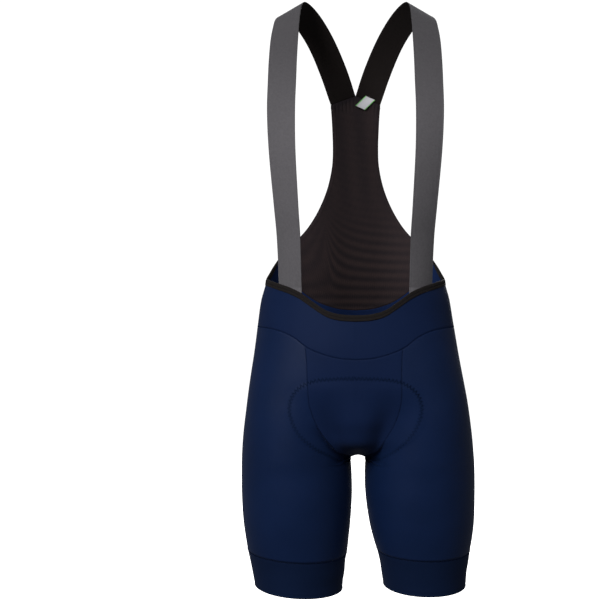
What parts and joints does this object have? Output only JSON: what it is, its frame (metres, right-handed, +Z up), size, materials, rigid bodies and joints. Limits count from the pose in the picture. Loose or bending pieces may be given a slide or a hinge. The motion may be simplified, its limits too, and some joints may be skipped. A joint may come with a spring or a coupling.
{
  "type": "cycling bib shorts",
  "caption": "Cycling bib shorts as worn: snug hollow legs with gripper bands, a bound yoke and a mesh back carried by two wide elastic straps.",
  "frame": {"origin": "midway between the highest points of the two straps, where the wearer's shoulders hold the garment up", "axes": "+X towards the wearer's left, +Y towards the back, +Z up"},
  "size_m": [0.3495, 0.2262, 0.883],
  "materials": {
    "navy_knit": "smooth stretch knit with a faint sheen",
    "strap_elastic": "matt, finely ribbed, dark on the inner side",
    "back_mesh": "matt open net",
    "binding": "matt elastic",
    "label_cloth": "smooth woven tape"
  },
  "bodies": {
    "root": {"front_yoke": "navy_knit", "back_yoke": "navy_knit", "waist_trim": "binding", "front_centre": "navy_knit", "leg_right": "navy_knit", "leg_left": "navy_knit", "band_right": "navy_knit", "band_left": "navy_knit", "strap_right": "strap_elastic", "strap_left": "strap_elastic", "back_mesh": "back_mesh", "label": "label_cloth"}
  },
  "joints": []
}
